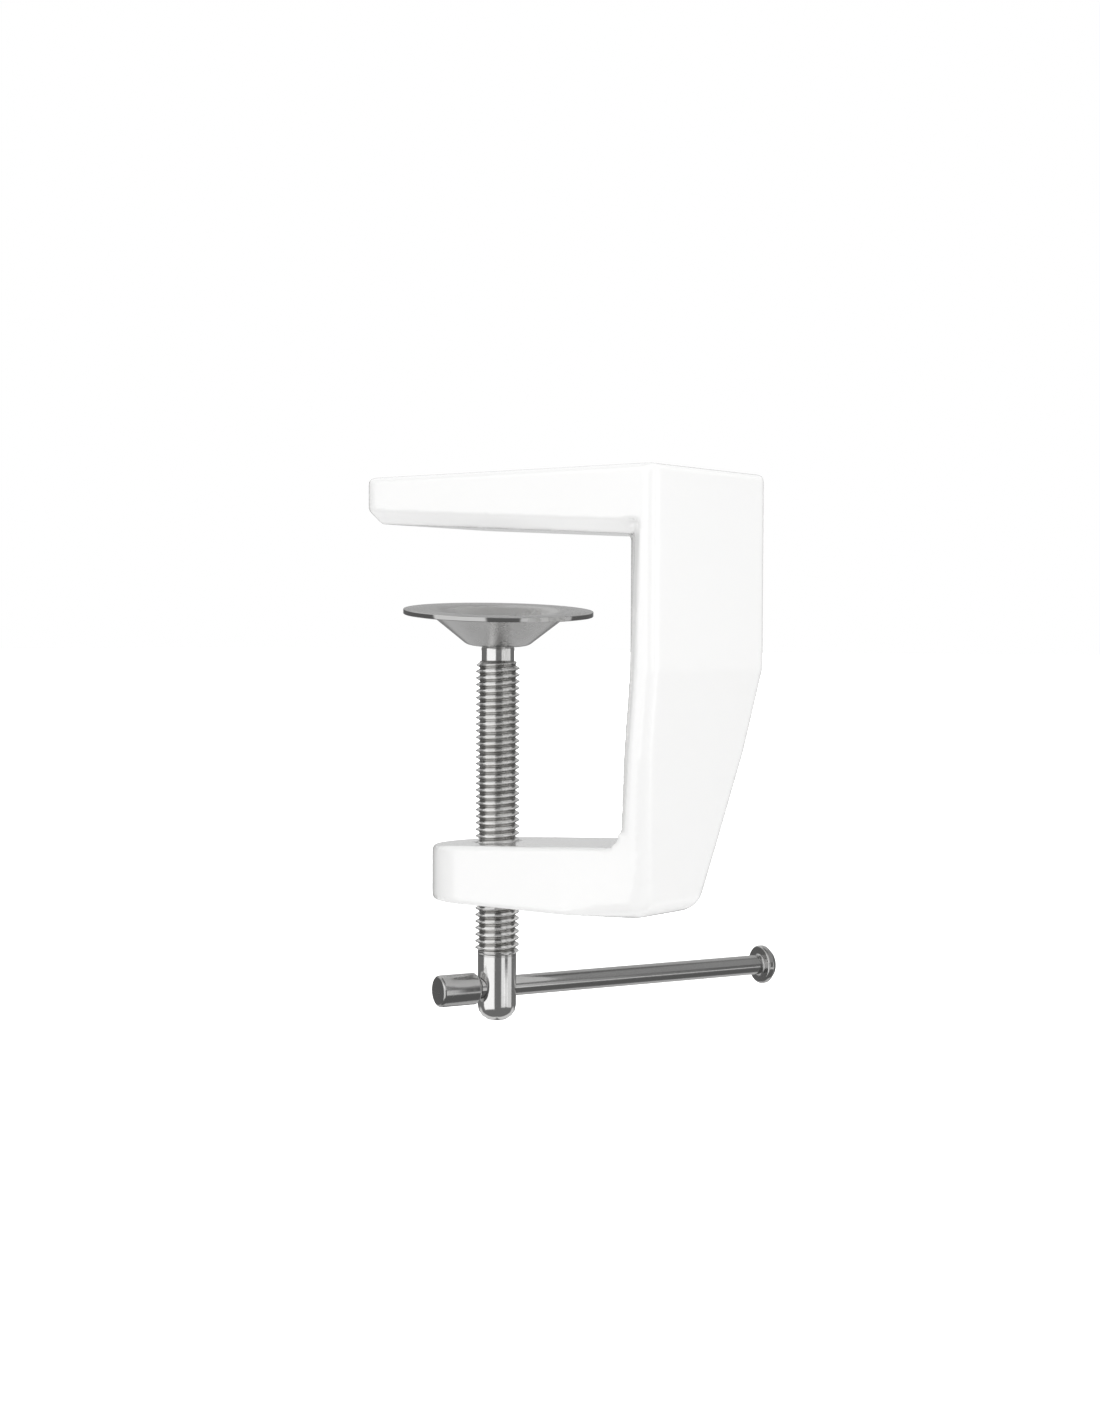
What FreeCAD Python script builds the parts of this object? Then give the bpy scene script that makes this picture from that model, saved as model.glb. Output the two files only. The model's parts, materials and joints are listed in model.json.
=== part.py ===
"""Bench clamp with a post socket: cast C frame, swivel pressure pad, clamp screw and tommy bar.

Frame of the part, in millimetres:
  origin  on the jaw face under the top arm, where the screw's axis meets it
  +X      from the mouth of the clamp towards its spine
  +Z      up, along the screw and along the post socket
"""
import FreeCAD, Part
import math
import os

V = FreeCAD.Vector
ORIGIN = V(0, 0, 0)
AXIS_X = V(1, 0, 0)
AXIS_Y = V(0, 1, 0)
AXIS_Z = V(0, 0, 1)
TINY = 0.01

# ---------------------------------------------------------------- frame: main sizes
frame_height = 95.2        # foot of the spine to the top face
top_width = 44.0           # across the top arm and the upper spine
arm_width = 29.6           # across the lower arm
tip_reach = 21.5           # screw axis to the free end of the top arm
back_reach = 58.0          # screw axis to the back face
top_thickness = 11.4       # top arm where the screw axis meets it
lower_thickness = 13.1     # lower arm where the screw axis meets it
spine_thickness = 7.0      # upper spine, at the height of the bend

# ---------------------------------------------------------------- frame: slopes and edges
jaw_draft = 3.2            # degrees, underside of the top arm
lower_draft = 3.0          # degrees, top of the lower arm
inner_draft = 2.0          # degrees, inner face of the upper spine
lean_angle = 10.1          # degrees, lower spine leaning in under the clamp
bend_height = 53.0         # foot to the bend of the spine
middle_height = 34.8       # foot to where the lower spine narrows faster
middle_width = 39.0        # across the spine at that height
foot_width = 23.6          # across the back of the foot
foot_start = 30.0          # screw axis to where the lower arm begins to narrow into the foot
foot_step = 0.05           # sides of the foot stand this much inside those of the arm
inner_corner_radius = 4.0  # between lower arm and spine
jaw_bevel = 3.0            # along the underside edges of the top arm
spine_bevel_side = 3.0     # along the inner edges of the spine, measured on its sides
spine_bevel_inside = 2.2   # the same, measured on its inner face
bevel_fade = 0.7           # share of the spine's bevel left where it meets the lower arm
back_edge_radius = 2.5     # upright edges of the back
tip_edge_radius = 3.4      # upright edges of the top arm's free end, larger than the bevel
rim_radius = 1.2           # edges round the top face and the lower arm
foot_radius = 1.0          # edges round the underside of the lower arm
foot_edge_radius = 4.6     # upright edges of the back, at the foot
foot_back_radius = 4.0     # edges round the underside at the back
foot_steps = 6             # sections that the rounding is lofted through

# ---------------------------------------------------------------- post socket
socket_offset = 10.0       # socket axis to the back face
socket_radius = 6.1        # bore of the liner, for a 12 mm post
boss_wall = 1.7            # casting round the liner
liner_wall = 1.1
liner_lip = 0.8            # liner's lip is wider than its body by this
liner_lip_height = 1.5
liner_clearance = 0.02     # round the liner in the casting
socket_depth = 38.0
boss_floor = 3.0
boss_foot_slope = 45.0     # degrees, foot of the boss running back into the spine

# ---------------------------------------------------------------- clamp screw
thread_radius = 5.0        # M10
thread_pitch = 1.5
thread_depth = 0.92
bore_clearance = 0.07      # frame bore over the thread
neck_radius = 3.75
neck_length = 3.3
thread_below = 12.88       # thread left under the frame, as drawn
head_radius = 4.4
head_length = 15.0
head_dome = 3.2            # height of the head's rounded end
rest_opening = 18.0        # jaw face to the pad's rim, as drawn
neck_chamfer = 0.5
tip_bore_depth = 11.0      # bore in the neck for the swivel pin

# ---------------------------------------------------------------- pressure pad and its swivel pin
pad_radius = 21.6
pad_flat_radius = 15.6     # where the flat rim turns down into the dish
pad_floor_radius = 7.0
pad_height = 8.0           # underside of the floor to the top of the rim
pad_sheet = 1.15
pad_tilt = 5.1             # degrees, play of the loosely riveted pad
pad_tilt_heading = 48.0    # degrees from +X to the axis that the pad tips about
pad_hole_clearance = 0.45
pin_radius = 2.5
pin_head_radius = 4.2
pin_head_height = 1.7
pin_clearance = 0.05       # round the pin in the screw
pin_end_gap = 0.3
pin_chamfer = 0.3
swivel_gap = 0.04          # left over where the tilted pad meets its stops

# ---------------------------------------------------------------- tommy bar
bar_radius = 2.35
bar_hole_clearance = 0.1
bar_heading = 66.5         # degrees from +X
bar_reach = 72.0           # screw axis to the bar's forged head
bar_drop = 7.6             # bar axis above the foot of the screw
bar_stop_gap = 0.3         # cap to screw head, as drawn
forged_overhang = 2.25     # forged head over the bar, all round
forged_rim = 1.5
forged_dome = 2.0
cap_wall = 1.25            # sleeve over the bar, all round
cap_length = 10.3
cap_chamfer = 0.6
cap_inner_chamfer = 1.2
spigot_step = 0.45         # how much the bar is turned down where the cap is pressed on
spigot_length = 8.0

# ---------------------------------------------------------------- values worked out from the above
top_z = top_thickness
foot_z = top_z - frame_height
bend_z = foot_z + bend_height
lean = math.tan(math.radians(lean_angle))
foot_back_x = back_reach - lean * bend_height
inner_bend_x = back_reach - spine_thickness
socket_x = back_reach - socket_offset
liner_radius = socket_radius + liner_wall
boss_radius = liner_radius + boss_wall
rim_z = -rest_opening
pad_floor_z = rim_z - pad_height
pad_pivot_z = pad_floor_z + pad_sheet / 2.0
tilt_rise = math.tan(math.radians(pad_tilt))
half_sheet = pad_sheet / 2.0 / math.cos(math.radians(pad_tilt))
neck_top_z = pad_pivot_z - half_sheet - neck_radius * tilt_rise - swivel_gap
pin_head_z = pad_pivot_z + half_sheet + pin_head_radius * tilt_rise + swivel_gap
thread_top_z = neck_top_z - neck_length
thread_foot_z = foot_z - thread_below
thread_length = thread_top_z - thread_foot_z
screw_foot_z = thread_foot_z - head_length
bar_z = screw_foot_z + bar_drop
cap_start = head_radius + bar_stop_gap
cap_radius = bar_radius + cap_wall
forged_radius = bar_radius + forged_overhang
spigot_radius = bar_radius - spigot_step


def under_jaw(x):
    """Height of the jaw face at x."""
    return -math.tan(math.radians(jaw_draft)) * x


def over_arm(x):
    """Height of the lower arm's top face at x."""
    return foot_z + lower_thickness + math.tan(math.radians(lower_draft)) * x


def polygon_face(points):
    """Flat face through the points, in order."""
    return Part.Face(Part.makePolygon(points + [points[0]]))


def revolve_profile(points):
    """Solid of revolution about Z from (radius, height) points."""
    face = polygon_face([V(radius, 0, height) for radius, height in points])
    return face.revolve(ORIGIN, AXIS_Z, 360)


def edges_where(shape, test):
    """Edges of the shape whose two ends and middle all pass the test."""
    chosen = []
    for edge in shape.Edges:
        middle = edge.valueAt((edge.FirstParameter + edge.LastParameter) / 2.0)
        ends = [vertex.Point for vertex in edge.Vertexes]
        if all(test(point) for point in ends + [middle]):
            chosen.append(edge)
    return chosen


def near(a, b):
    return abs(a - b) < TINY


# ---------------------------------------------------------------- clamp frame
def inner_corner_points():
    """Corners of the clamp's opening: under the jaw, at the bend, and on the lower arm."""
    rise = math.tan(math.radians(inner_draft))
    # the upper inner face leans by the draft, so it meets the sloping jaw face a little further back
    slope = math.tan(math.radians(jaw_draft))
    top_x = (inner_bend_x - rise * bend_z) / (1 + rise * slope)
    top = V(top_x, 0, under_jaw(top_x))
    bend = V(inner_bend_x, 0, bend_z)
    arm_slope = math.tan(math.radians(lower_draft))
    arm_z = foot_z + lower_thickness
    low_x = (inner_bend_x - lean * (bend_z - arm_z)) / (1 - lean * arm_slope)
    low = V(low_x, 0, over_arm(low_x))
    return top, bend, low


def inner_corner_arc():
    """Start, middle and end of the rounded corner between spine and lower arm."""
    bend, low = inner_corner_points()[1:]
    toward_bend = (bend - low).normalize()
    toward_tip = (V(0, 0, over_arm(0)) - low).normalize()
    half_angle = toward_bend.getAngle(toward_tip) / 2.0
    tangent = inner_corner_radius / math.tan(half_angle)
    bisector = (toward_bend + toward_tip).normalize()
    centre = low + bisector * (inner_corner_radius / math.sin(half_angle))
    middle = centre - bisector * inner_corner_radius
    return low + toward_bend * tangent, middle, low + toward_tip * tangent


def side_outline():
    """The C of the frame as a face in the plane Y = 0."""
    top, bend = inner_corner_points()[:2]
    arc_start, arc_middle, arc_end = inner_corner_arc()
    arm_end = -arm_width / 2.0
    corners = [
        arc_end,
        V(arm_end, 0, over_arm(arm_end)),
        V(arm_end, 0, foot_z),
        V(foot_back_x, 0, foot_z),
        V(back_reach, 0, bend_z),
        V(back_reach, 0, top_z),
        V(-tip_reach, 0, top_z),
        V(-tip_reach, 0, under_jaw(-tip_reach)),
        top,
        bend,
        arc_start,
    ]
    edges = [Part.makeLine(a, b) for a, b in zip(corners, corners[1:])]
    edges.append(Part.Arc(arc_start, arc_middle, arc_end).toShape())
    return Part.Face(Part.Wire(edges))


def back_x(z):
    """Distance from the screw axis to the back of the frame at height z."""
    return back_reach - lean * max(bend_z - z, 0.0)


def half_width(z):
    """Half the width of the spine's back at height z."""
    arm_z = inner_corner_arc()[2].z
    middle_z = foot_z + middle_height
    stations = [(foot_z, foot_width), (arm_z, arm_width), (middle_z, middle_width), (bend_z, top_width)]
    for (low_z, low_width), (high_z, high_width) in zip(stations, stations[1:]):
        if z <= high_z:
            return (low_width + (high_width - low_width) * (z - low_z) / (high_z - low_z)) / 2.0
    return top_width / 2.0


def rounded_outline(corners):
    """Closed outline through (point, radius) corners, each rounded by its radius if it has one."""
    ends = []
    sides = []
    for index, (corner, radius) in enumerate(corners):
        before = (corners[index - 1][0] - corner).normalize()
        after = (corners[(index + 1) % len(corners)][0] - corner).normalize()
        if radius == 0:
            ends.append((corner, corner, None))
            continue
        half_angle = before.getAngle(after) / 2.0
        tangent = radius / math.tan(half_angle)
        inward = (before + after).normalize()
        middle = corner + inward * (radius / math.sin(half_angle) - radius)
        ends.append((corner + before * tangent, corner + after * tangent, middle))
    for (start, end, middle), following in zip(ends, ends[1:] + ends[:1]):
        if middle is not None:
            sides.append(Part.Arc(start, middle, end).toShape())
        sides.append(Part.makeLine(end, following[0]))
    return Part.Wire(sides)


def plan_section(z):
    """Outline of the whole frame at height z."""
    back = back_x(z)
    half = half_width(z)
    return rounded_outline([
        (V(-tip_reach, -half, z), tip_edge_radius),
        (V(back, -half, z), back_edge_radius),
        (V(back, half, z), back_edge_radius),
        (V(-tip_reach, half, z), tip_edge_radius),
    ])


def upper_envelope():
    """Outer shape above the lower arm: upright above the bend, leaning and narrowing below it."""
    heights = [top_z, bend_z, foot_z + middle_height, inner_corner_arc()[2].z]
    sections = [plan_section(z) for z in heights]
    parts = [Part.makeLoft([above, below], True, True) for above, below in zip(sections, sections[1:])]
    return parts[0].fuse(parts[1:])


def inset_at(height, radius):
    """How far a rounded lower edge stands back at this height above the foot."""
    if height >= radius:
        return 0.0
    return radius - math.sqrt(radius ** 2 - (radius - height) ** 2)


def foot_section(z):
    """Outline of the back of the foot at height z, narrowing from the arm to the back."""
    arm_z = inner_corner_arc()[2].z
    share = (arm_z - z) / (arm_z - foot_z)
    inset = inset_at(z - foot_z, foot_back_radius)
    edge_radius = back_edge_radius + share * (foot_edge_radius - back_edge_radius) - inset
    back = back_x(z) - inset
    half = half_width(z) - inset
    arm_half = arm_width / 2.0 - foot_step - inset_at(z - foot_z, foot_radius)
    return rounded_outline([
        (V(foot_start, -arm_half, z), 0),
        (V(back, -half, z), edge_radius),
        (V(back, half, z), edge_radius),
        (V(foot_start, arm_half, z), 0),
    ])


def foot_solids():
    """Foot under and in front of the spine, its lower edges rounded more and more towards the back."""
    arm_z = inner_corner_arc()[2].z
    rounding_z = foot_z + foot_back_radius
    walls = Part.makeLoft([foot_section(arm_z), foot_section(rounding_z)], True, True)
    turns = [math.radians(90.0 * step / foot_steps) for step in range(foot_steps + 1)]
    heights = [foot_back_radius * (1 - math.sin(turn)) for turn in turns]
    rounding = Part.makeLoft([foot_section(foot_z + height) for height in heights], True, False)
    block = side_outline().extrude(V(0, top_width, 0))
    block.translate(V(0, -top_width / 2.0, 0))
    block = block.common(walls.fuse(rounding)).removeSplitter()
    # only the stretch in front of the spine has free upper rims to soften
    root_x = inner_corner_arc()[2].x
    in_front = Part.makeBox(root_x - foot_start, top_width, 2 * lower_thickness,
                            V(foot_start, -top_width / 2.0, foot_z))
    front = block.common(in_front)
    rims = edges_where(front, lambda p: near(p.z, over_arm(p.x)))
    front = front.makeFillet(rim_radius, [edge for edge in rims if edge.BoundBox.XLength > rim_radius])
    return [block.cut(in_front), front]


def lower_arm():
    """Lower arm as far as the foot: half round about the screw, its rims softened."""
    radius = arm_width / 2.0
    block = Part.makeCylinder(radius, 2 * lower_thickness, V(0, 0, foot_z))
    block = block.fuse(Part.makeBox(foot_start, arm_width, 2 * lower_thickness, V(0, -radius, foot_z)))
    above = polygon_face([
        V(-radius - 1, -radius - 1, over_arm(-radius - 1)),
        V(foot_start + 1, -radius - 1, over_arm(foot_start + 1)),
        V(foot_start + 1, -radius - 1, foot_z + 3 * lower_thickness),
        V(-radius - 1, -radius - 1, foot_z + 3 * lower_thickness),
    ]).extrude(V(0, arm_width + 2, 0))
    block = block.cut(above).removeSplitter()
    for height, fillet in ((over_arm, rim_radius), (lambda x: foot_z, foot_radius)):
        rim = edges_where(block, lambda p: near(p.z, height(p.x)))
        block = block.makeFillet(fillet, [edge for edge in rim if not near(edge.CenterOfMass.x, foot_start)])
    return block


def socket_boss():
    """Boss inside the spine that holds the post, its foot sloping back into the spine."""
    floor_z = top_z - socket_depth - boss_floor
    front = socket_x - boss_radius
    inside_spine = inner_bend_x + spine_thickness / 2.0
    drop = (inside_spine - front) * math.tan(math.radians(boss_foot_slope))
    height = top_z - floor_z + drop
    boss = Part.makeCylinder(boss_radius, height, V(socket_x, 0, floor_z - drop))
    root = Part.makeBox(inside_spine - socket_x, 2 * boss_radius, height, V(socket_x, -boss_radius, floor_z - drop))
    side = polygon_face([
        V(front, -boss_radius, top_z),
        V(front, -boss_radius, floor_z),
        V(inside_spine, -boss_radius, floor_z - drop),
        V(inside_spine, -boss_radius, top_z),
    ])
    return boss.fuse(root).common(side.extrude(V(0, 2 * boss_radius, 0)))


def socket_hole():
    """Stepped hole in the casting for the socket's liner."""
    body = Part.makeCylinder(liner_radius + liner_clearance, socket_depth,
                             V(socket_x, 0, top_z - socket_depth))
    lip = Part.makeCylinder(liner_radius + liner_lip + liner_clearance, liner_lip_height + 1,
                            V(socket_x, 0, top_z - liner_lip_height))
    return body.fuse(lip)


def spine_bevel(side):
    """Wedge along one inner edge of the spine, full size under the jaw and fading towards the arm."""
    top, bend = inner_corner_points()[:2]
    arc_start = inner_corner_arc()[0]
    above = top + (top - bend).normalize() * spine_bevel_side
    share = (bend.z - foot_z - middle_height) / (bend.z - arc_start.z)
    middle = bend + (arc_start - bend) * share
    outlines = []
    for point, fade in [(above, 1.0), (bend, 1.0), (middle, 1.0), (arc_start, bevel_fade)]:
        edge = V(point.x, side * half_width(point.z), point.z)
        on_side = edge + V(spine_bevel_side * fade, 0, 0)
        on_inside = edge - V(0, side * spine_bevel_inside * fade, 0)
        clear = V(-spine_bevel_side, side * spine_bevel_inside, 0)
        outlines.append(Part.makePolygon([on_side, on_side + clear, on_inside + clear, on_inside, on_side]))
    return Part.makeLoft(outlines, True, True)


def bevel_jaw(body):
    """Bevels the underside of the top arm along its sides and round its tip."""
    top = inner_corner_points()[0]

    def on_jaw(p):
        return near(p.z, under_jaw(p.x)) and p.x < top.x + TINY

    sides = edges_where(body, lambda p: on_jaw(p) and abs(p.y) > top_width / 2.0 - tip_edge_radius - TINY)
    tip = edges_where(body, lambda p: on_jaw(p) and near(p.x, -tip_reach))
    return body.makeChamfer(jaw_bevel, sides + tip)


def make_clamp_frame():
    body = side_outline().extrude(V(0, top_width, 0))
    body.translate(V(0, -top_width / 2.0, 0))
    body = bevel_jaw(body.common(upper_envelope()))
    for side in (-1, 1):
        body = body.cut(spine_bevel(side))
    body = body.makeFillet(rim_radius, edges_where(body, lambda p: near(p.z, top_z)))
    body = body.fuse(foot_solids() + [lower_arm(), socket_boss()])
    body = body.cut(socket_hole())
    screw_hole = Part.makeCylinder(thread_radius + bore_clearance, 3 * lower_thickness,
                                   V(0, 0, foot_z - lower_thickness))
    return body.cut(screw_hole).removeSplitter()


def make_post_liner():
    """Nylon liner of the post socket, flush with the top face."""
    depth = socket_depth
    outer = Part.makeCylinder(liner_radius, depth, V(socket_x, 0, top_z - depth))
    lip = Part.makeCylinder(liner_radius + liner_lip, liner_lip_height, V(socket_x, 0, top_z - liner_lip_height))
    bore = Part.makeCylinder(socket_radius, depth + 2, V(socket_x, 0, top_z - depth - 1))
    return outer.fuse(lip).cut(bore).removeSplitter()


# ---------------------------------------------------------------- clamp screw
def thread_ridge():
    """One helical ridge of 60 degree thread, sunk a little into its core."""
    root = thread_radius - thread_depth
    sink = thread_depth / 6.0
    crest = thread_pitch / 16.0
    flank = (thread_depth + sink) * math.tan(math.radians(30.0))
    start_z = thread_foot_z + thread_pitch
    turns_height = thread_length - 2.0 * thread_pitch
    helix = Part.makeHelix(thread_pitch, turns_height, root)
    helix.translate(V(0, 0, start_z))
    inner = root - sink
    profile = Part.makePolygon([
        V(inner, 0, start_z - crest - flank),
        V(thread_radius, 0, start_z - crest),
        V(thread_radius, 0, start_z + crest),
        V(inner, 0, start_z + crest + flank),
        V(inner, 0, start_z - crest - flank),
    ])
    return Part.Wire(helix).makePipeShell([profile], True, True)


def make_clamp_screw():
    """Screw with plain neck and head, the head cross-drilled for the tommy bar."""
    root = thread_radius - thread_depth
    core = revolve_profile([
        (0, screw_foot_z),
        (head_radius * 0.45, screw_foot_z),
        (head_radius * 0.85, screw_foot_z + head_dome * 0.4),
        (head_radius, screw_foot_z + head_dome),
        (head_radius, thread_foot_z + thread_pitch),
        (root, thread_foot_z + thread_pitch + (head_radius - root)),
        (root, thread_top_z),
        (neck_radius, thread_top_z + (root - neck_radius)),
        (neck_radius, neck_top_z - neck_chamfer),
        (neck_radius - neck_chamfer, neck_top_z),
        (0, neck_top_z),
    ])
    screw = core.fuse(thread_ridge())
    cross_hole = Part.makeCylinder(bar_radius + bar_hole_clearance, 4 * head_radius,
                                   V(-2 * head_radius, 0, bar_z), AXIS_X)
    cross_hole.rotate(ORIGIN, AXIS_Z, bar_heading)
    pin_bore = Part.makeCylinder(pin_radius + pin_clearance, tip_bore_depth + 1,
                                 V(0, 0, neck_top_z - tip_bore_depth))
    return screw.cut(cross_hole).cut(pin_bore)


# ---------------------------------------------------------------- pad and swivel pin
def make_pressure_pad():
    """Pressed dish with a flat rim, drawn tipped as far as its rivet lets it go."""
    sheet = pad_sheet
    slope = math.atan2(pad_height - sheet, pad_flat_radius - pad_floor_radius)
    shift = sheet * math.tan(slope / 2.0)
    hole = pin_radius + pad_hole_clearance
    under = pad_floor_z
    dish = revolve_profile([
        (hole, under),
        (pad_floor_radius, under),
        (pad_flat_radius, rim_z - sheet),
        (pad_radius, rim_z - sheet),
        (pad_radius, rim_z),
        (pad_flat_radius - shift, rim_z),
        (pad_floor_radius - shift, under + sheet),
        (hole, under + sheet),
    ])
    tip_axis = V(math.cos(math.radians(pad_tilt_heading)), math.sin(math.radians(pad_tilt_heading)), 0)
    dish.rotate(V(0, 0, pad_pivot_z), tip_axis, pad_tilt)
    return dish


def make_swivel_pin():
    """Rivet that turns in the screw's neck and holds the pad with play."""
    pin_foot_z = neck_top_z - tip_bore_depth + pin_end_gap
    dome = pin_head_height * 0.55
    return revolve_profile([
        (0, pin_foot_z),
        (pin_radius - pin_chamfer, pin_foot_z),
        (pin_radius, pin_foot_z + pin_chamfer),
        (pin_radius, pin_head_z),
        (pin_head_radius, pin_head_z),
        (pin_head_radius, pin_head_z + pin_head_height - dome),
        (pin_head_radius * 0.7, pin_head_z + pin_head_height),
        (0, pin_head_z + pin_head_height),
    ])


# ---------------------------------------------------------------- tommy bar
def place_bar(shape):
    """Turns a piece made along Z about the origin into its place on the bar."""
    shape.rotate(ORIGIN, AXIS_Y, 90)
    shape.rotate(ORIGIN, AXIS_Z, bar_heading)
    shape.translate(V(0, 0, bar_z))
    return shape


def make_tommy_bar():
    """Round bar with a forged mushroom head at one end and a spigot at the other."""
    shoulder = -(cap_start + cap_length - spigot_length)
    end = -(cap_start + cap_length) + 1.0
    return place_bar(revolve_profile([
        (0, end),
        (spigot_radius, end),
        (spigot_radius, shoulder),
        (bar_radius, shoulder),
        (bar_radius, bar_reach),
        (forged_radius, bar_reach),
        (forged_radius, bar_reach + forged_rim),
        (forged_radius * 0.72, bar_reach + forged_rim + forged_dome * 0.7),
        (forged_radius * 0.35, bar_reach + forged_rim + forged_dome),
        (0, bar_reach + forged_rim + forged_dome),
    ]))


def make_bar_cap():
    """Stop sleeve pressed on the bar's short end."""
    near_end = -cap_start
    far_end = -(cap_start + cap_length)
    shoulder = -(cap_start + cap_length - spigot_length)
    return place_bar(revolve_profile([
        (bar_radius, near_end),
        (cap_radius - cap_inner_chamfer, near_end),
        (cap_radius, near_end - cap_inner_chamfer),
        (cap_radius, far_end + cap_chamfer),
        (cap_radius - cap_chamfer, far_end),
        (0, far_end),
        (0, far_end + 1.0),
        (spigot_radius, far_end + 1.0),
        (spigot_radius, shoulder),
        (bar_radius, shoulder),
    ]))


def export(node, shape):
    shape.exportStep("parts/" + node + ".step")
    print(node, "solids", len(shape.Solids), "valid", shape.isValid(), "volume", round(shape.Volume, 1))


os.makedirs("parts", exist_ok=True)
export("clamp_frame", make_clamp_frame())
export("post_liner", make_post_liner())
export("clamp_screw", make_clamp_screw())
export("swivel_pin", make_swivel_pin())
export("pressure_pad", make_pressure_pad())
export("tommy_bar", make_tommy_bar())
export("bar_cap", make_bar_cap())
print("neck top", round(neck_top_z, 3), "thread", round(thread_top_z, 3), round(thread_foot_z, 3),
      "bar", round(bar_z, 3), "foot", round(screw_foot_z, 3))
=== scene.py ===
# %% [markdown]
# # A bench clamp, piece by piece
# The real object is a small clamp that holds a stand to the edge of a table. A cast, white enamelled C
# carries a plated screw. A dish on top of the screw presses on the table, and a bar through the screw's head
# turns it. The exact solids are loaded first. They stay where they are, and every new piece is measured from
# them.

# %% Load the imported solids
import bpy
import json
import math
from mathutils import Matrix, Quaternion, Vector


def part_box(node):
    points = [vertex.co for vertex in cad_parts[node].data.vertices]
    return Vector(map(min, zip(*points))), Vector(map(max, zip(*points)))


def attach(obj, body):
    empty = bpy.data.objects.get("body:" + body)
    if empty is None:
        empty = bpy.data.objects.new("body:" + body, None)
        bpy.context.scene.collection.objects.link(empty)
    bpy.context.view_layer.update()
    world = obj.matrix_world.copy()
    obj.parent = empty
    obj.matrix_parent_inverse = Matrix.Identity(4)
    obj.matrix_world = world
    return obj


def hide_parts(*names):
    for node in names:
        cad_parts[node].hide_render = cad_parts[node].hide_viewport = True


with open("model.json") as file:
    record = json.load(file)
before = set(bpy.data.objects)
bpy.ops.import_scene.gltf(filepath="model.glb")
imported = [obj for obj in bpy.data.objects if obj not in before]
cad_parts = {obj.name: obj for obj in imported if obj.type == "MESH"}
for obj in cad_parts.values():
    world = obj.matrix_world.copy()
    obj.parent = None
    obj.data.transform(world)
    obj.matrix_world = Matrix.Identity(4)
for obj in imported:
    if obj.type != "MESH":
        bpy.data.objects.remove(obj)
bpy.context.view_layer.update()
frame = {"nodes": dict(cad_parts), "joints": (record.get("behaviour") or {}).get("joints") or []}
nodes = frame["nodes"]
bpy.ops.object.select_all(action="DESELECT")
print("pieces loaded:", sorted(nodes))

# %% [markdown]
# ## Where the camera stands
# Product pictures of a clamp are taken from behind its spine, at the height of its middle, with a longer lens
# so that upright edges stay upright. The camera is placed by its position and the direction in which it
# looks.

# %% Camera
camera_data = bpy.data.cameras.new("studio_camera")
camera_data.sensor_width = 36
camera_data.lens = 54.12
camera_data.clip_start = 0.01
camera_roll = 0.229  # degrees
camera = bpy.data.objects.new("studio_camera", camera_data)
bpy.context.scene.collection.objects.link(camera)
bpy.context.scene.camera = camera
look = Vector((-0.61248, 0.78968, -0.03565))
level = look.to_track_quat("-Z", "Y")
camera.rotation_mode = "QUATERNION"
camera.rotation_quaternion = level @ Quaternion((0, 0, 1), math.radians(camera_roll))
camera.location = (0.30735, -0.37687, -0.02365)
print("camera at", [round(value, 3) for value in camera.location], "with a lens of", camera_data.lens, "mm")

# %% [markdown]
# ## Floor
# The floor is a plain pale sheet, low enough for the screw to run out to its full travel above it. Bright
# plate would mirror it as a flat grey, so reflections don't see it and see the room instead.

# %% Floor
room_below = 0.06
floor_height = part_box("clamp_screw")[0].z - room_below
bpy.ops.mesh.primitive_plane_add(size=30, location=(0, 0, floor_height))
floor = bpy.context.object
floor.name = "floor"
floor.visible_glossy = False
print("floor at", round(floor_height, 3), "m")


# %% [markdown]
# ## Helpers for materials
# Every material is a small tree of nodes. These helpers make a tree, add a node with its settings in one
# line, and put a finished material on a piece, so that the cells below read as recipes.

# %% Helpers for materials
def new_material(name):
    """Makes a material with nodes, and gives back its tree and its main shader too."""
    material = bpy.data.materials.new(name)
    material.use_nodes = True
    return material, material.node_tree, material.node_tree.nodes["Principled BSDF"]


def add(tree, kind, **settings):
    """Adds a node and sets its properties and inputs by name."""
    node = tree.nodes.new(kind)
    for key, value in settings.items():
        if key in node.inputs:
            node.inputs[key].default_value = value
        else:
            setattr(node, key, value)
    return node


def dress(obj, material):
    """Leaves a piece with one material."""
    obj.data.materials.clear()
    obj.data.materials.append(material)


# %% [markdown]
# ## Floor paint
# Pale paint sends light back up under the clamp. A little glow of its own, seen by the camera alone, keeps
# the floor as white as the room behind it without lighting anything.

# %% Floor paint
camera_glow = 0.55
paper, tree, shader = new_material("pale_floor")
shader.inputs["Base Color"].default_value = (0.9, 0.9, 0.9, 1)
shader.inputs["Roughness"].default_value = 1.0
shader.inputs["Specular IOR Level"].default_value = 0.0
shader.inputs["Emission Color"].default_value = (1, 1, 1, 1)
lit = add(tree, "ShaderNodeLightPath")
glow = add(tree, "ShaderNodeMath", operation="MULTIPLY")
tree.links.new(lit.outputs["Is Camera Ray"], glow.inputs[0])
glow.inputs[1].default_value = camera_glow
tree.links.new(glow.outputs[0], shader.inputs["Emission Strength"])
dress(floor, paper)
print("material:", paper.name)

# %% [markdown]
# ## Studio light
# White enamel wants even light from all sides. Bright plate wants something dark to reflect, or it looks like
# paper. So the room is white for soft light, while reflections see a dim room with soft boxes: a tall one on
# the left, two narrow ones on the right, and panels overhead, low down and far behind the clamp.

# %% World
world = bpy.data.worlds.new("studio")
bpy.context.scene.world = world
world.use_nodes = True
tree = world.node_tree
tree.nodes.clear()


def math_node(tree, operation, a, b=None, c=None):
    """Adds a Math node whose inputs are numbers or other nodes' outputs."""
    node = add(tree, "ShaderNodeMath", operation=operation)
    for socket, value in zip(node.inputs, (a, b, c)):
        if value is None:
            continue
        if isinstance(value, (int, float)):
            socket.default_value = value
        else:
            tree.links.new(value, socket)
    return node.outputs[0]


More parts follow.
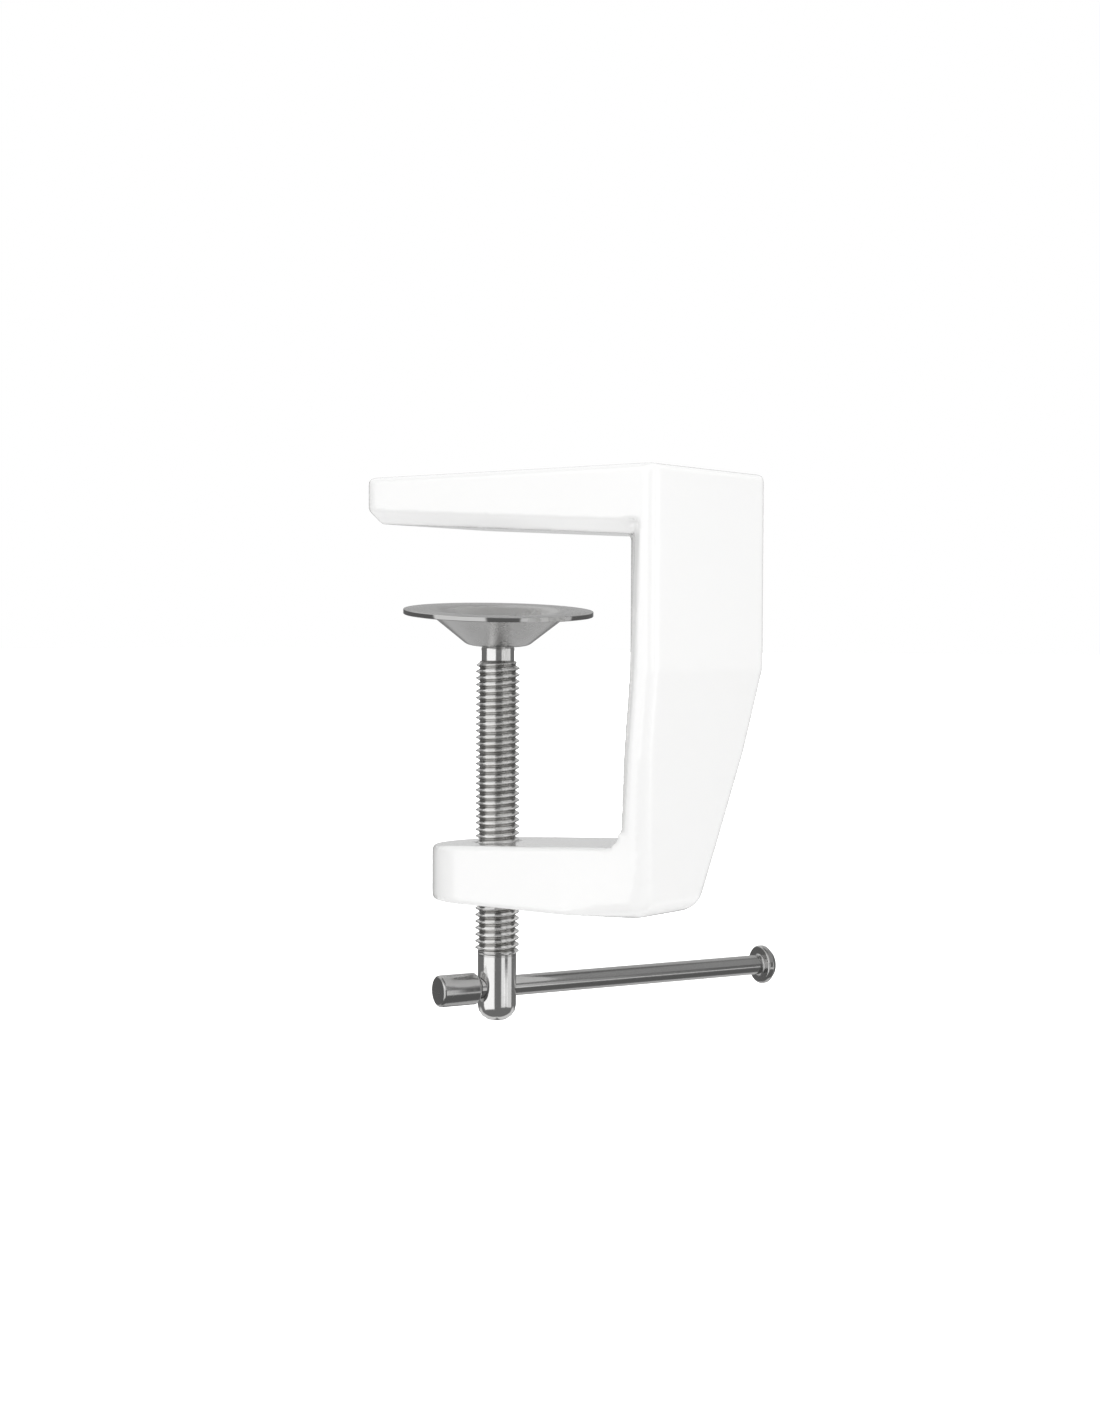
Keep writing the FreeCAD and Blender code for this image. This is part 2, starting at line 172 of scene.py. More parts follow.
def band(tree, value, low, high, soft):
    """Gives 1 between low and high, falling to 0 over soft on both sides."""
    up = add(tree, "ShaderNodeMapRange", interpolation_type="SMOOTHSTEP")
    down = add(tree, "ShaderNodeMapRange", interpolation_type="SMOOTHSTEP")
    tree.links.new(value, up.inputs["Value"])
    tree.links.new(value, down.inputs["Value"])
    up.inputs["From Min"].default_value = low - soft
    up.inputs["From Max"].default_value = low
    down.inputs["From Min"].default_value = high
    down.inputs["From Max"].default_value = high + soft
    down.inputs["To Min"].default_value = 1
    down.inputs["To Max"].default_value = 0
    return math_node(tree, "MULTIPLY", up.outputs[0], down.outputs[0])


towards = add(tree, "ShaderNodeTexCoord")
turn = add(tree, "ShaderNodeVectorRotate", rotation_type="Z_AXIS")
turn.inputs["Angle"].default_value = -(math.atan2(look.y, look.x) + math.pi)
tree.links.new(towards.outputs["Generated"], turn.inputs["Vector"])
split = add(tree, "ShaderNodeSeparateXYZ")
tree.links.new(turn.outputs[0], split.inputs[0])
# turned so that X points from the clamp to the camera and Y to the camera's right
bearing = math_node(tree, "ARCTAN2", split.outputs["Y"], split.outputs["X"])
height = math_node(tree, "ARCSINE", split.outputs["Z"])
deg = math.radians


def patch(left, right, low, high, soft, strength):
    """A lit or dark patch of the room between two bearings and two heights, in degrees."""
    across = band(tree, bearing, deg(left), deg(right), deg(soft))
    upright = band(tree, height, deg(low), deg(high), deg(soft))
    return math_node(tree, "MULTIPLY", math_node(tree, "MULTIPLY", across, upright), strength)


def total(base, patches):
    """Adds patches of light to the light that is everywhere."""
    for item in patches:
        base = math_node(tree, "ADD", item, base)
    return base


# %% Soft boxes seen in gloss, and the soft light
dim_room = 0.17
tall_box_on_left = [patch(-80, -16, -30, 34, 5, 0.95)]
boxes_on_right = [patch(30, 48, -20, 8, 4, 0.75), patch(70, 98, -20, 8, 4, 0.6)]
low_strip_on_right = [patch(50, 68, -19, -14, 3, 0.7)]
far_wall = [patch(-200, -168, -8, 9, 4, 0.42), patch(168, 200, -8, 9, 4, 0.42)]
low_panels_behind = [patch(-168, -120, -85, -25, 10, 0.5), patch(120, 168, -85, -25, 10, 0.5)]
overhead_bright = [patch(-200, 42, 16, 60, 6, 0.4), patch(135, 200, 16, 60, 6, 0.4)]
overhead_faint = [patch(52, 125, 16, 60, 6, 0.2), patch(-175, -110, 30, 54, 6, 0.3)]
sides = tall_box_on_left + boxes_on_right + low_strip_on_right
behind = far_wall + low_panels_behind
all_boxes = sides + behind + overhead_bright + overhead_faint
seen_in_gloss = total(dim_room, all_boxes)

white_room = 1.15
shade_behind_left = patch(-190, -100, -95, 95, 25, -0.35)
fill_on_right = patch(60, 150, -95, 95, 25, 0.3)
soft_light = total(white_room, [shade_behind_left, fill_on_right])
print("patches of light seen in gloss:", len(all_boxes))

# %% What each ray sees
path = add(tree, "ShaderNodeLightPath")
backdrop = add(tree, "ShaderNodeMix", data_type="FLOAT")
tree.links.new(path.outputs["Is Camera Ray"], backdrop.inputs[0])
tree.links.new(soft_light, backdrop.inputs[2])
backdrop.inputs[3].default_value = 1.0
mixer = add(tree, "ShaderNodeMix", data_type="FLOAT")
tree.links.new(path.outputs["Is Glossy Ray"], mixer.inputs[0])
tree.links.new(backdrop.outputs[0], mixer.inputs[2])
tree.links.new(seen_in_gloss, mixer.inputs[3])
background = add(tree, "ShaderNodeBackground")
background.inputs["Color"].default_value = (1, 1, 1, 1)
tree.links.new(mixer.outputs[0], background.inputs["Strength"])
output = add(tree, "ShaderNodeOutputWorld")
tree.links.new(background.outputs[0], output.inputs["Surface"])
bpy.context.scene.view_settings.view_transform = "Standard"
print("world:", world.name)

# %% [markdown]
# ## Sizes
# The exact solids say where everything is. A few sizes can't be read off their boxes, such as the pitch of
# the thread, and are given here in millimetres.

# %% Sizes read from the solids
MM = 0.001
screw_low, screw_high = [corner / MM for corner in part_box("clamp_screw")]
thread_radius = (screw_high.x - screw_low.x) / 2
thread_pitch = 1.5
thread_depth = 0.92
thread_root = thread_radius - thread_depth
neck_radius = 3.75
neck_length = 3.3
head_radius = 4.4
head_length = 15.0
head_dome = 3.2
thread_high = screw_high.z - neck_length
thread_low = screw_low.z + head_length
joints = {joint["name"]: joint for joint in frame["joints"]}
bar_axis = Vector(joints["bar_slide"]["axis"])
bar_heading = math.atan2(bar_axis.y, bar_axis.x)
cap_low, cap_high = [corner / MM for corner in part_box("bar_cap")]
bar_z = (cap_low.z + cap_high.z) / 2
print("thread from", round(thread_low, 2), "to", round(thread_high, 2), "bar at", round(bar_z, 2))

# %% [markdown]
# ## A lathe
# The screw, the pad, the bar, its cap, the rivet and the liner are all round. On the bench each is turned,
# drawn or pressed about one axis, so here each is an outline that is spun. Stacked cylinders would also do,
# but their edges would be knife sharp. A real corner has a small radius that catches the light, so each
# corner is given one.

# %% Lathe
def rounded(corners, steps=4):
    """Points of an outline whose corners are (radius, height, rounding)."""
    points = []
    for index, (radius, height, rounding) in enumerate(corners):
        corner = Vector((radius, height))
        if rounding == 0:
            points.append(corner)
            continue
        back = (Vector(corners[index - 1][:2]) - corner).normalized()
        ahead = (Vector(corners[index + 1][:2]) - corner).normalized()
        half = back.angle(ahead) / 2
        centre = corner + (back + ahead).normalized() * rounding / math.sin(half)
        reach = rounding / math.tan(half)
        start = corner + back * reach - centre
        end = corner + ahead * reach - centre
        points += [centre + start.slerp(end, step / steps) * rounding for step in range(steps + 1)]
    return points


def draw(name, outline):
    """Draws an outline in the plane of X and Z, one extruded point after another."""
    bpy.ops.object.select_all(action="DESELECT")
    bpy.ops.mesh.primitive_plane_add(size=MM)
    piece = bpy.context.object
    piece.name = name
    bpy.ops.object.mode_set(mode="EDIT")
    bpy.ops.mesh.select_all(action="SELECT")
    bpy.ops.mesh.merge(type="CENTER")
    bpy.ops.transform.translate(value=(outline[0].x * MM, 0, outline[0].y * MM))
    for here, there in zip(outline, outline[1:]):
        step = (there - here) * MM
        bpy.ops.mesh.extrude_region_move(TRANSFORM_OT_translate={"value": (step.x, 0, step.y)})
    bpy.ops.object.mode_set(mode="OBJECT")
    return piece


def close_skin():
    """Merges the seam and the poles of the piece in edit mode, and turns its faces outwards."""
    bpy.ops.mesh.select_all(action="SELECT")
    bpy.ops.mesh.remove_doubles(threshold=0.001 * MM)
    bpy.ops.mesh.normals_make_consistent(inside=False)


def lathe(name, outline, steps=96):
    """Spins an outline about Z into a closed skin."""
    piece = draw(name, outline)
    bpy.ops.object.mode_set(mode="EDIT")
    bpy.ops.mesh.select_all(action="SELECT")
    bpy.ops.mesh.spin(steps=steps, angle=2 * math.pi, center=(0, 0, 0), axis=(0, 0, 1))
    close_skin()
    bpy.ops.object.mode_set(mode="OBJECT")
    return piece


def only(piece):
    """Makes a piece the only one that operators act on."""
    bpy.ops.object.select_all(action="DESELECT")
    piece.select_set(True)
    bpy.context.view_layer.objects.active = piece


def settle(piece, matrix):
    """Puts a piece in its place and leaves the place in its mesh."""
    only(piece)
    piece.matrix_world = matrix @ piece.matrix_world
    bpy.ops.object.transform_apply(location=True, rotation=True, scale=True)


def finish_piece(piece, body, node, angle=32):
    """Smooths a piece except at its real edges, and lets it stand for its exact solid."""
    only(piece)
    bpy.ops.object.shade_smooth_by_angle(angle=math.radians(angle))
    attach(piece, body)
    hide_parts(node)
    print("made", piece.name, "with", len(piece.data.polygons), "faces")


# %% [markdown]
# ## The clamp screw
# The thread is cut on a lathe: the tool's shape moves up one pitch in each turn. Blender's Screw modifier
# does the same with an outline of one groove and crest. Both ends are then cut square and chamfered, as a
# turner would before fitting the screw.

# %% Thread
flank_angle = 30  # degrees, each side of the thread
tool_nose = 0.12
steps_per_turn = 56


def cut_thread():
    """Cuts the thread along a round bar and chamfers its two ends."""
    flank = thread_depth * math.tan(math.radians(flank_angle))
    crest = thread_pitch / 8
    groove = (thread_pitch - crest) / 2 - flank
    outline = rounded([
        (thread_root, 0, 0),
        (thread_root, groove, tool_nose),
        (thread_radius, groove + flank, tool_nose),
        (thread_radius, groove + flank + crest, tool_nose),
        (thread_root, thread_pitch - groove, tool_nose),
        (thread_root, thread_pitch, 0),
    ], steps=2)
    thread = draw("thread", [point + Vector((0, thread_low - thread_pitch)) for point in outline])
    turning = thread.modifiers.new("turning", "SCREW")
    turning.screw_offset = thread_pitch * MM
    turning.iterations = math.ceil((thread_high - thread_low) / thread_pitch) + 2
    turning.steps = steps_per_turn
    turning.render_steps = steps_per_turn
    only(thread)
    bpy.ops.object.modifier_apply(modifier=turning.name)
    bpy.ops.object.mode_set(mode="EDIT")
    bpy.ops.mesh.select_all(action="SELECT")
    bpy.ops.mesh.remove_doubles(threshold=0.001 * MM)
    for height, above in ((thread_low, True), (thread_high, False)):
        bpy.ops.mesh.select_all(action="SELECT")
        bpy.ops.mesh.bisect(plane_co=(0, 0, height * MM), plane_no=(0, 0, 1), use_fill=True,
                            clear_inner=above, clear_outer=not above, threshold=0.0001 * MM)
    close_skin()
    bpy.ops.object.mode_set(mode="OBJECT")
    # near each end the radius may grow no faster than the distance from that end: a chamfer of 45 degrees
    for vertex in thread.data.vertices:
        from_end = min(vertex.co.z / MM - thread_low, thread_high - vertex.co.z / MM)
        allowed = (thread_root + max(from_end, 0)) * MM
        radius = vertex.co.xy.length
        if radius > allowed:
            vertex.co.x *= allowed / radius
            vertex.co.y *= allowed / radius
    return thread


thread = cut_thread()
print("thread", len(thread.data.polygons), "faces")


# %% [markdown]
# ## Neck, head and holes
# The neck and the round head are turned on the same bar. The cross hole for the tommy bar is drilled through
# the head, and a bore in the neck takes the rivet. Each is a spun solid that a Boolean modifier joins or cuts
# away.

# %% Join and cut
sliver = 0.004


def combine(piece, tool, operation):
    """Joins a tool to a piece or cuts it away, and closes the slivers that the cut leaves."""
    step = piece.modifiers.new("step", "BOOLEAN")
    step.operation = operation
    step.object = tool
    step.solver = "EXACT"
    only(piece)
    bpy.ops.object.modifier_apply(modifier=step.name)
    bpy.data.objects.remove(tool)
    bpy.ops.object.mode_set(mode="EDIT")
    bpy.ops.mesh.select_all(action="SELECT")
    bpy.ops.mesh.remove_doubles(threshold=sliver * MM)
    bpy.ops.mesh.dissolve_degenerate(threshold=sliver * MM)
    bpy.ops.object.mode_set(mode="OBJECT")


# %% Neck, head and holes
pin_bore = 2.55
bore_floor = screw_high.z - 11
cross_hole = 2.45
head_shoulder = thread_low + 1.0
head_root = thread_low + 1.7
neck = lathe("neck", rounded([
    (0, thread_high - 1, 0),
    (neck_radius, thread_high - 1, 0),
    (neck_radius, screw_high.z, 0.45),
    (0, screw_high.z, 0),
]))
head = lathe("head", rounded([
    (0, screw_low.z, 0),
    (head_radius, screw_low.z, head_dome + 0.4),
    (head_radius, head_shoulder, 0.2),
    (thread_root - 0.3, head_root, 0),
    (0, head_root, 0),
]))
drill_reach = 2 * head_radius
across = lathe("across", rounded([
    (0, -drill_reach, 0),
    (cross_hole, -drill_reach, 0),
    (cross_hole, drill_reach, 0),
    (0, drill_reach, 0),
]), 64)
to_bar_height = Matrix.Translation((0, 0, bar_z * MM))
to_bar_heading = Matrix.Rotation(bar_heading, 4, "Z")
lying_down = Matrix.Rotation(math.pi / 2, 4, "Y")
along_bar_matrix = to_bar_height @ to_bar_heading @ lying_down
settle(across, along_bar_matrix)
bore = lathe("bore", rounded([
    (0, bore_floor, 0),
    (pin_bore, bore_floor, 0),
    (pin_bore, screw_high.z + 1, 0),
    (0, screw_high.z + 1, 0),
]), 64)
screw = thread
screw.name = "screw_turned"
combine(screw, neck, "UNION")
combine(screw, head, "UNION")
combine(screw, across, "DIFFERENCE")
combine(screw, bore, "DIFFERENCE")
finish_piece(screw, "screw", "clamp_screw")

# %% [markdown]
# ## The pressure pad
# A disc of sheet is pressed into a dish with a flat rim. The outline follows the sheet round both of its
# sides, so the wall has one thickness all over. The pad is loose on its rivet, and it is drawn tipped.

# %% Pad
pad_radius = 21.6
pad_flat = 15.6
pad_floor = 7.0
pad_height = 8.0
pad_sheet = 1.15
pad_hole = 2.95
rim_z = -18.0
under = rim_z - pad_height
cone_slope = math.atan2(pad_height - pad_sheet, pad_flat - pad_floor)
wall_shift = pad_sheet * math.tan(cone_slope / 2)
tilt_joint = joints["pad_tilt"]
pad_pivot = Vector(tilt_joint["pos_m"])
tip_axis = Vector(tilt_joint["axis"])
rest_tip = math.radians(tilt_joint["range_deg"][1] - tilt_joint["range_deg"][0]) / 2
pad = lathe("pad_pressed", rounded([
    (pad_hole, under + pad_sheet / 2, 0),
    (pad_hole, under, 0.25),
    (pad_floor, under, 2.6),
    (pad_flat, rim_z - pad_sheet, 1.6),
    (pad_radius, rim_z - pad_sheet, 0.2),
    (pad_radius, rim_z, 0.2),
    (pad_flat - wall_shift, rim_z, 4.0),
    (pad_floor - wall_shift, under + pad_sheet, 1.5),
    (pad_hole, under + pad_sheet, 0.25),
    (pad_hole, under + pad_sheet / 2, 0),
], steps=6), steps=128)
tip = Matrix.Rotation(rest_tip, 4, tip_axis)
settle(pad, Matrix.Translation(pad_pivot) @ tip @ Matrix.Translation(-pad_pivot))
pad_turn = tip.to_euler("XYZ")
finish_piece(pad, "pad", "pressure_pad")

# %% [markdown]
# ## Rivet, bar, cap and liner
# The rivet holds the pad, the bar turns the screw, and the cap keeps the bar from falling out. The bar's
# other end is upset into a mushroom head. The liner keeps the post from scratching the casting.

# %% Rivet
pin_low, pin_high = [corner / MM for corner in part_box("swivel_pin")]
pin_radius = 2.5
pin_head = (pin_high.x - pin_low.x) / 2
pin_head_height = 1.7
rivet = lathe("rivet_set", rounded([
    (0, pin_low.z, 0),
    (pin_radius, pin_low.z, 0.3),
    (pin_radius, pin_high.z - pin_head_height, 0),
    (pin_head, pin_high.z - pin_head_height, 0.2),
    (pin_head, pin_high.z - 0.9, 0.35),
    (pin_head * 0.72, pin_high.z, 1.2),
    (0, pin_high.z, 0),
]), 72)
finish_piece(rivet, "swivel", "swivel_pin")

# %% Bar
bar_radius = 2.35
bar_reach = 72.0
forged_radius = bar_radius + 2.25
forged_rim = 1.5
forged_height = 3.5
dome_waist = 0.72
dome_top = 0.35
cap_start = head_radius + 0.3
cap_length = 10.3
spigot_radius = bar_radius - 0.45
spigot_end = -(cap_start + cap_length) + 1
shoulder = -(cap_start + cap_length - 8)
bar = lathe("bar_drawn", rounded([
    (0, spigot_end, 0),
    (spigot_radius, spigot_end, 0.2),
    (spigot_radius, shoulder, 0),
    (bar_radius, shoulder, 0.1),
    (bar_radius, bar_reach, 0.45),
    (forged_radius, bar_reach, 0.5),
    (forged_radius, bar_reach + forged_rim, 0.7),
    (forged_radius * dome_waist, bar_reach + forged_rim + 1.4, 1.0),
    (forged_radius * dome_top, bar_reach + forged_height, 1.5),
    (0, bar_reach + forged_height, 0),
], steps=6), 72)
settle(bar, along_bar_matrix)
finish_piece(bar, "bar", "tommy_bar")

# %% Cap
cap_radius = bar_radius + 1.25
inner_chamfer = 1.2
far_end = -(cap_start + cap_length)
cap = lathe("cap_turned", rounded([
    (0, far_end, 0),
    (cap_radius, far_end, 0.7),
    (cap_radius, -cap_start - inner_chamfer, 0.3),
    (cap_radius - inner_chamfer, -cap_start, 0.15),
    (bar_radius, -cap_start, 0),
    (bar_radius, shoulder, 0),
    (spigot_radius, shoulder, 0),
    (spigot_radius, spigot_end, 0),
    (0, spigot_end, 0),
]), 72)
settle(cap, along_bar_matrix)
finish_piece(cap, "bar", "bar_cap")

# %% Liner
liner_low, liner_high = [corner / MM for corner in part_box("post_liner")]
liner_lip = (liner_high.x - liner_low.x) / 2
liner_body = liner_lip - 0.8
socket_radius = 6.1
lip_height = 1.5
socket_x = (liner_low.x + liner_high.x) / 2
outline_start = liner_low.z + 4  # on the straight wall, away from any corner
liner = lathe("liner_moulded", rounded([
    (socket_radius, outline_start, 0),
    (socket_radius, liner_low.z, 0.2),
    (liner_body, liner_low.z, 0.3),
    (liner_body, liner_high.z - lip_height, 0),
    (liner_lip, liner_high.z - lip_height, 0.15),
    (liner_lip, liner_high.z, 0.25),
    (socket_radius, liner_high.z, 0.6),
    (socket_radius, outline_start, 0),
]), 96)
settle(liner, Matrix.Translation((socket_x * MM, 0, 0)))
finish_piece(liner, "frame", "post_liner")

# %% [markdown]
# ## The cast frame
# The exact solid has the right shape but sharp edges where faces meet. Sand leaves no sharp edge, and enamel
# fills inner corners. Rolling each edge with a Bevel modifier needs clean faces, and this copy has long thin
# triangles. So the merged copy is remeshed into small even squares, which stay on its flat faces, and then
# relaxed a little.

# %% Frame
def soften_casting(grain=0.55, passes=5):
    """Copy of the casting in even faces, its edges rolled over by about the size of one face."""
    casting = bpy.data.objects.new("frame_cast", nodes["clamp_frame"].data.copy())
    bpy.context.scene.collection.objects.link(casting)
    only(casting)
    bpy.ops.object.mode_set(mode="EDIT")
    bpy.ops.mesh.select_all(action="SELECT")
    bpy.ops.mesh.remove_doubles(threshold=0.001 * MM)
    bpy.ops.object.mode_set(mode="OBJECT")
    even = casting.modifiers.new("even", "REMESH")
    even.mode = "VOXEL"
    even.voxel_size = grain * MM
    bpy.ops.object.modifier_apply(modifier=even.name)
    relax = casting.modifiers.new("relax", "SMOOTH")
    relax.factor = 0.5
    relax.iterations = passes
    bpy.ops.object.modifier_apply(modifier=relax.name)
    return casting


clamp = soften_casting()
finish_piece(clamp, "frame", "clamp_frame", 60)

# %% [markdown]
# ## Tool marks, orange peel and handling
# No real surface is even. A lathe leaves fine rings, a drawing die leaves lines along a bar, enamel dries
# with a faint orange peel, and hands leave a film that is a little duller. Painted images could hold these,
# but noise on object coordinates fits every piece at its real size and has no seams. Each of these effects is
# a node group.

# %% Node group helpers
def new_group(name, inputs, outputs):
    """Makes a shader node group with float or vector inputs and float outputs."""
    group = bpy.data.node_groups.new(name, "ShaderNodeTree")
    for title, kind, value in inputs:
        socket = group.interface.new_socket(title, in_out="INPUT", socket_type=kind)
        if value is not None:
            socket.default_value = value
    for title in outputs:
        group.interface.new_socket(title, in_out="OUTPUT", socket_type="NodeSocketFloat")
    return group, add(group, "NodeGroupInput"), add(group, "NodeGroupOutput")


def noise(tree, vector, scale, detail=3.0, roughness=0.5):
    """Adds even noise, and gives back its value."""
    node = add(tree, "ShaderNodeTexNoise", Scale=scale, Detail=detail, Roughness=roughness)
    tree.links.new(vector, node.inputs["Vector"])
    return node.outputs["Fac"]


def remap(tree, value, low, high, to_low=0.0, to_high=1.0):
    """Stretches the range from low to high onto another range, and holds it there."""
    node = add(tree, "ShaderNodeMapRange")
    tree.links.new(value, node.inputs["Value"])
    for title, number in (("From Min", low), ("From Max", high), ("To Min", to_low), ("To Max", to_high)):
        node.inputs[title].default_value = number
    return node.outputs["Result"]


# %% Group: tool marks
def make_tool_marks():
    """Makes rings about Z where Along is large, and lines along Z where Across is large."""
    vector, number = "NodeSocketVector", "NodeSocketFloat"
    inputs = [("Vector", vector, None), ("Across", number, 60.0), ("Along", number, 4000.0)]
    group, given, result = new_group("tool_marks", inputs, ["Marks", "Streaks"])
    stretch = add(group, "ShaderNodeCombineXYZ")
    group.links.new(given.outputs["Across"], stretch.inputs["X"])
    group.links.new(given.outputs["Across"], stretch.inputs["Y"])
    group.links.new(given.outputs["Along"], stretch.inputs["Z"])
    scaled = add(group, "ShaderNodeVectorMath", operation="MULTIPLY")
    group.links.new(given.outputs["Vector"], scaled.inputs[0])
    group.links.new(stretch.outputs[0], scaled.inputs[1])
    group.links.new(noise(group, scaled.outputs[0], 1.0, 4.0, 0.6), result.inputs["Marks"])
    coarse = noise(group, scaled.outputs[0], 0.22, 2.0, 0.5)
    group.links.new(remap(group, coarse, 0.35, 0.7), result.inputs["Streaks"])
    return group


tool_marks = make_tool_marks()
print("group:", tool_marks.name)


# %% Group: handling
def make_handling():
    """Soft smudges and fine scattered scratches."""
    inputs = [("Vector", "NodeSocketVector", None), ("Size", "NodeSocketFloat", 1.0)]
    group, given, result = new_group("handling", inputs, ["Smudge", "Scratch"])
    sized = add(group, "ShaderNodeVectorMath", operation="SCALE")
    group.links.new(given.outputs["Vector"], sized.inputs[0])
    group.links.new(given.outputs["Size"], sized.inputs["Scale"])
    smudge = noise(group, sized.outputs[0], 70.0, 4.0, 0.65)
    group.links.new(remap(group, smudge, 0.42, 0.68), result.inputs["Smudge"])
    lines = []
    for turn, slant in ((0.6, 0.35), (-0.9, 1.1), (2.1, -0.5)):
        mapping = add(group, "ShaderNodeMapping")
        mapping.inputs["Rotation"].default_value = (slant, turn, turn - slant)
        mapping.inputs["Scale"].default_value = (900.0, 25.0, 60.0)
        group.links.new(sized.outputs[0], mapping.inputs["Vector"])
        lines.append(remap(group, noise(group, mapping.outputs[0], 1.0, 2.0, 0.5), 0.70, 0.76))
    most = math_node(group, "MAXIMUM", math_node(group, "MAXIMUM", lines[0], lines[1]), lines[2])
    group.links.new(most, result.inputs["Scratch"])
    return group


handling = make_handling()
print("group:", handling.name)


# %% Group: orange peel
def make_orange_peel():
    """Low waves left by the casting under the finer skin of sprayed paint."""
    group, given, result = new_group("orange_peel", [("Vector", "NodeSocketVector", None)], ["Height"])
    waves = noise(group, given.outputs["Vector"], 45.0, 1.0)
    skin = noise(group, given.outputs["Vector"], 650.0, 1.5)
    both = math_node(group, "MULTIPLY_ADD", skin, 0.16, waves)
    group.links.new(both, result.inputs["Height"])
    return group


orange_peel = make_orange_peel()
print("group:", orange_peel.name)


# %% Helpers that place a group in a material
def place(tree, group, vector, **values):
    """Places a node group, and gives back its outputs."""
    node = add(tree, "ShaderNodeGroup")
    node.node_tree = group
    tree.links.new(vector, node.inputs["Vector"])
    for title, value in values.items():
        node.inputs[title].default_value = value
    return node.outputs


def local_axes(tree, centre=(0, 0, 0), turn=(0, 0, 0)):
    """Object coordinates, moved and turned so that Z runs along the piece."""
    coordinates = add(tree, "ShaderNodeTexCoord")
    mapping = add(tree, "ShaderNodeMapping", vector_type="TEXTURE")
    mapping.inputs["Location"].default_value = centre
    mapping.inputs["Rotation"].default_value = turn
    tree.links.new(coordinates.outputs["Object"], mapping.inputs["Vector"])
    return mapping.outputs[0]


def tint(tree, factor, first, second):
    """Mixes two colours."""
    node = add(tree, "ShaderNodeMix", data_type="RGBA")
    tree.links.new(factor, node.inputs["Factor"])
    node.inputs["A"].default_value = (*first, 1)
    node.inputs["B"].default_value = (*second, 1)
    return node.outputs["Result"]


def bump(tree, shader, *layers):
    """Chains bumps, each (height, depth in millimetres), into the shader's normal."""
    normal = None
    for height, depth in layers:
        node = add(tree, "ShaderNodeBump", Strength=1.0, Distance=depth * MM)
        tree.links.new(height, node.inputs["Height"])
        if normal is not None:
            tree.links.new(normal, node.inputs["Normal"])
        normal = node.outputs["Normal"]
    tree.links.new(normal, shader.inputs["Normal"])


def distance_from_axis(tree, axis):
    """Gives the distance from the piece's own axis, and the height along it."""
    parts = add(tree, "ShaderNodeSeparateXYZ")
    tree.links.new(axis, parts.inputs[0])
    flat = add(tree, "ShaderNodeCombineXYZ")
    tree.links.new(parts.outputs["X"], flat.inputs["X"])
    tree.links.new(parts.outputs["Y"], flat.inputs["Y"])
    radius = add(tree, "ShaderNodeVectorMath", operation="LENGTH")
    tree.links.new(flat.outputs[0], radius.inputs[0])
    return radius.outputs["Value"], parts.outputs["Z"]


# %% [markdown]
# ## White enamel
# The casting is sprayed or dipped in gloss white enamel. A white base under a clear coat gives the two
# lustres that real paint has: a soft one from the pigment and a sharp one from its surface. Orange peel and a
# thin uneven film keep it from looking like plastic in a computer.

# %% Enamel
def make_enamel():
    """Makes the casting's gloss white enamel."""
    material, tree, shader = new_material("white_enamel")
    place_at = local_axes(tree)
    peel = place(tree, orange_peel, place_at)
    film = noise(tree, place_at, 40.0, 2.0)
    clean_white = (0.917, 0.917, 0.914)
    filmed_white = (0.907, 0.906, 0.901)
    colour = tint(tree, film, clean_white, filmed_white)
    tree.links.new(colour, shader.inputs["Base Color"])
    rough = math_node(tree, "MULTIPLY_ADD", film, 0.1, 0.19)
    tree.links.new(rough, shader.inputs["Roughness"])
    shader.inputs["Coat Weight"].default_value = 1.0
    shader.inputs["Coat Roughness"].default_value = 0.05
    peel_depth = 0.03
    bump(tree, shader, (peel["Height"], peel_depth))
    return material


enamel = make_enamel()
print("material:", enamel.name)


# %% [markdown]
# ## Bright plate
# The screw, the bar and its cap are steel, turned or drawn and then nickel plated. Plating follows the tool
# marks below it, so the marks bend the reflections a little. Down in the grooves of the thread the plate is
# painted darker: a trace of oil and dirt, and painted shade. Each piece has its own material, because its
# marks run along its own axis.

# %% Plate
nickel = (0.82, 0.817, 0.812)
filmed_nickel = (0.78, 0.776, 0.768)
scratch_depth = 0.0012


def make_plate(name, centre, turn, across, along, marks_depth, shine=0.09, scuffs=1.0, tone=1.0):
    """Starts a plated material: shine is its least roughness, tone darkens it, marks run round or along Z."""
    material, tree, shader = new_material(name)
    axis = local_axes(tree, centre, turn)
    marks = place(tree, tool_marks, axis, Across=across, Along=along)
    worn = place(tree, handling, axis, Size=1.6)
    clean = [channel * tone for channel in nickel]
    filmed = [channel * tone for channel in filmed_nickel]
    colour = tint(tree, worn["Smudge"], clean, filmed)
    rough = math_node(tree, "MULTIPLY_ADD", marks["Streaks"], 0.06, shine)
    rough = math_node(tree, "MULTIPLY_ADD", worn["Smudge"], 0.06, rough)
    rough = math_node(tree, "MULTIPLY_ADD", worn["Scratch"], 0.08 * scuffs, rough)
    shader.inputs["Metallic"].default_value = 1.0
    bump(tree, shader, (marks["Marks"], marks_depth), (worn["Scratch"], scratch_depth * scuffs))
    return material, tree, shader, axis, colour, rough


def finish_plate(made):
    """Links the colour and the roughness, which a maker may have changed since."""
    material, tree, shader, axis, colour, rough = made
    tree.links.new(colour, shader.inputs["Base Color"])
    tree.links.new(rough, shader.inputs["Roughness"])
    print("material:", material.name)
    return material


# %% Plate on the screw
upright = (0, 0, 0)
origin = (0, 0, 0)
# colour deep in the thread: a trace of oily dirt, made darker still as painted shade in the grooves
dirt_and_shade_colour = (0.22, 0.213, 0.2, 1)


